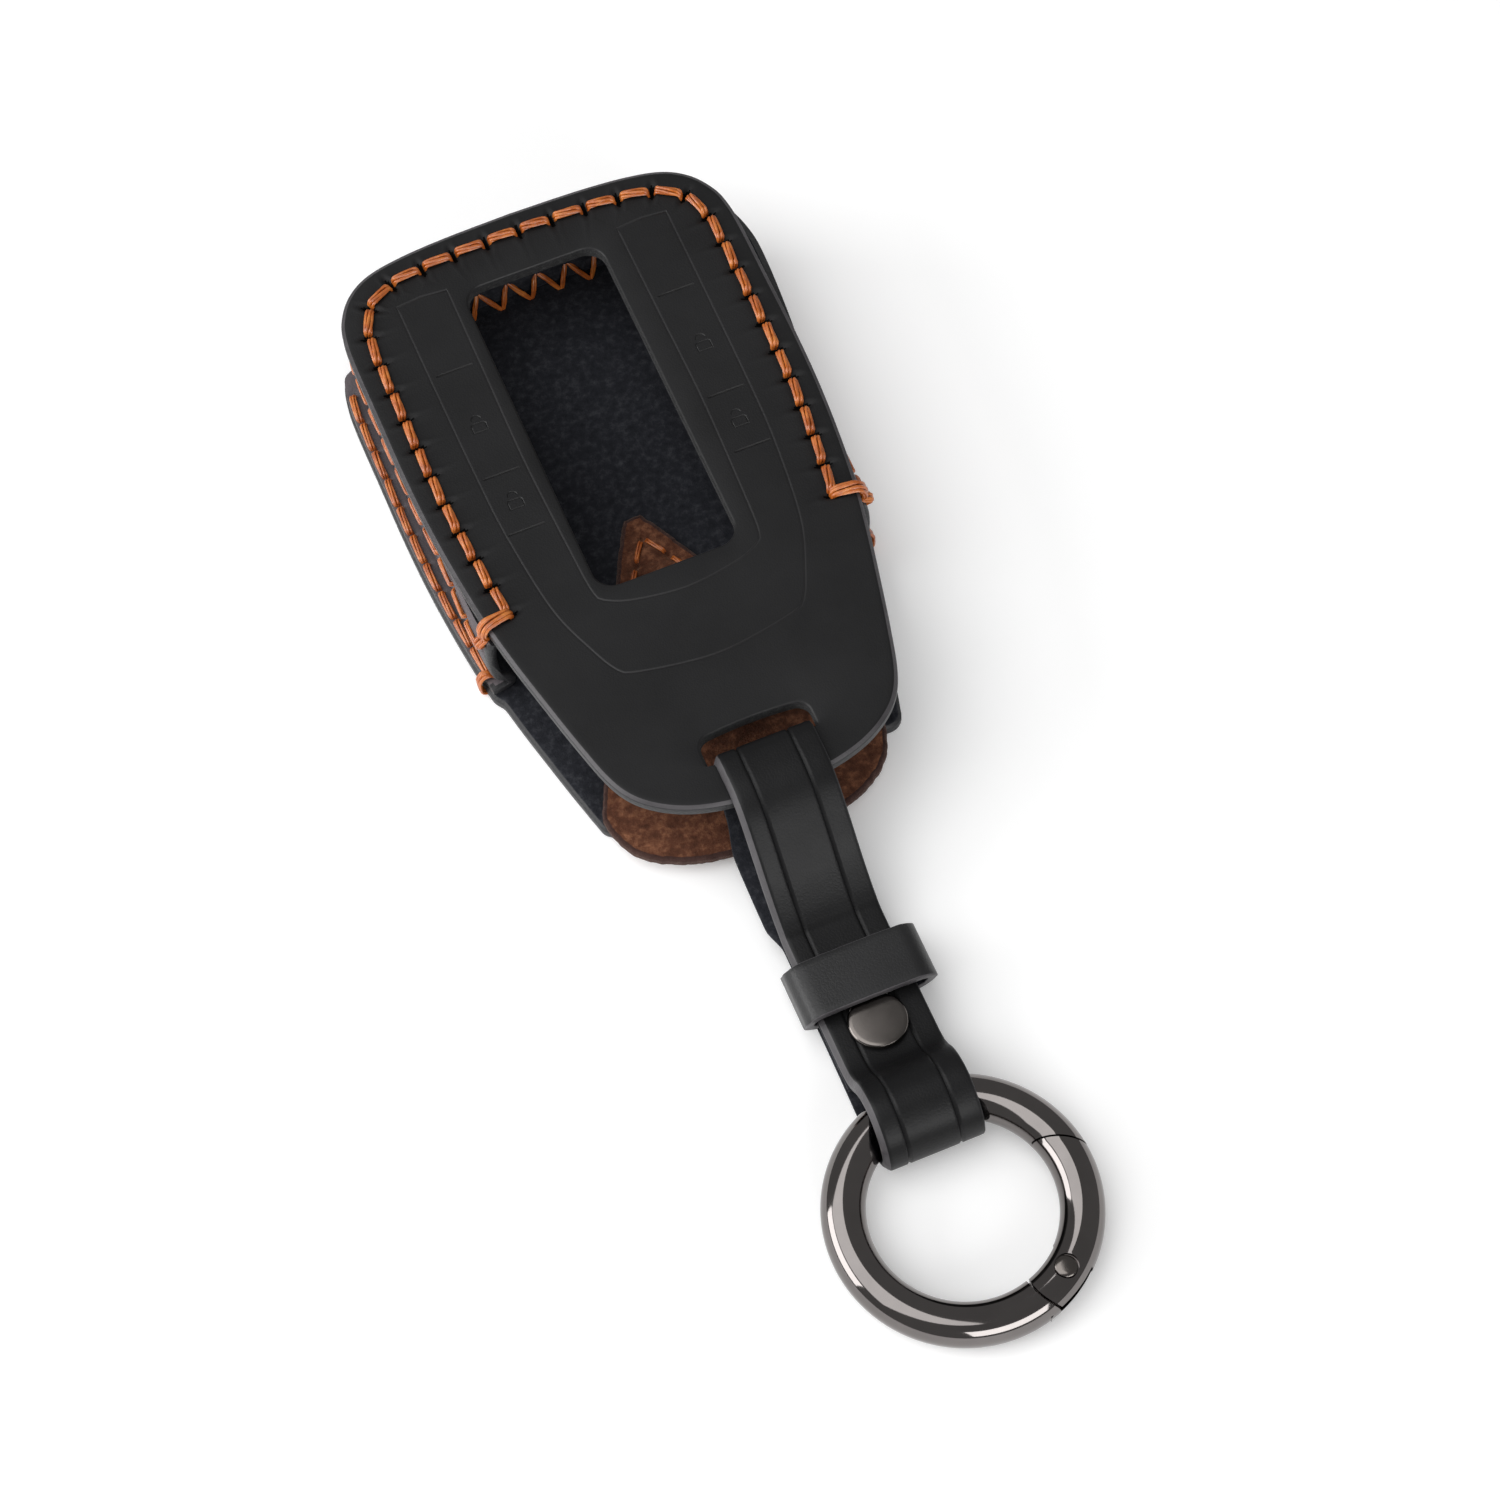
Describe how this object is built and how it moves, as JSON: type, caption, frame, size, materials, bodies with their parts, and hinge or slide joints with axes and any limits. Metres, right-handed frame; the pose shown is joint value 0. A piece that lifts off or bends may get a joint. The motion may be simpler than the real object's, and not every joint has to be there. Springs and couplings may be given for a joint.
{
  "type": "key cover",
  "caption": "Hand-sewn leather pouch for a display key, with a window, an open mouth, a riveted strap, a sliding keeper and a spring-gate ring.",
  "frame": {"origin": "under the middle of the object's bounding box, on the surface that it lies on", "axes": "+Y runs from the ring to the closed top end of the case, +Z out of the front panel, +X to the right seen from the front with the closed end up"},
  "size_m": [0.0596, 0.1702, 0.0188],
  "materials": {
    "black_leather": "smooth matte black leather",
    "black_split_leather": "dry black leather with a fuzzy flesh side",
    "brown_suede": "brushed brown suede",
    "orange_thread": "waxed twisted thread",
    "gunmetal": "polished black nickel",
    "spring_steel": "bright spring wire"
  },
  "bodies": {
    "case": {"front_panel": "black_leather", "side_gusset": "black_leather", "rear_panel": "black_split_leather", "suede_tongue": "brown_suede", "front_seam_thread": "orange_thread", "front_side_thread": "orange_thread", "left_rear_seam_thread": "orange_thread", "left_rear_under_thread": "orange_thread", "right_rear_seam_thread": "orange_thread", "right_rear_under_thread": "orange_thread", "tongue_thread": "orange_thread", "tongue_under_thread": "orange_thread", "top_zigzag_thread": "orange_thread"},
    "strap": {"strap": "black_leather", "rivet_cap": "gunmetal", "rivet_post": "gunmetal"},
    "keeper": {"keeper_loop": "black_leather"},
    "ring": {"ring_body": "gunmetal", "gate_pin": "gunmetal"},
    "gate": {"ring_gate": "gunmetal", "gate_spring": "spring_steel"}
  },
  "joints": [
    {"name": "strap_swing", "type": "hinge", "parent": "case", "child": "strap", "pos_m": [0, -0.00599, 0.017], "axis": [-1, 0, 0], "range_deg": [0, 15]},
    {"name": "keeper_slide", "type": "slide", "parent": "strap", "child": "keeper", "axis": [0, 1, 0], "range_m": [0, 0.002]},
    {"name": "ring_swing", "type": "hinge", "parent": "strap", "child": "ring", "pos_m": [0, -0.05294, 0.00472], "axis": [-1, 0, 0], "range_deg": [0, 90]},
    {"name": "gate_pivot", "type": "hinge", "parent": "ring", "child": "gate", "pos_m": [0.00821, -0.07974, 0.00303], "axis": [0, -0.063, 0.998], "range_deg": [0, 28], "stiffness_Nm_per_rad": 0.1, "springref_deg": -11.46}
  ]
}
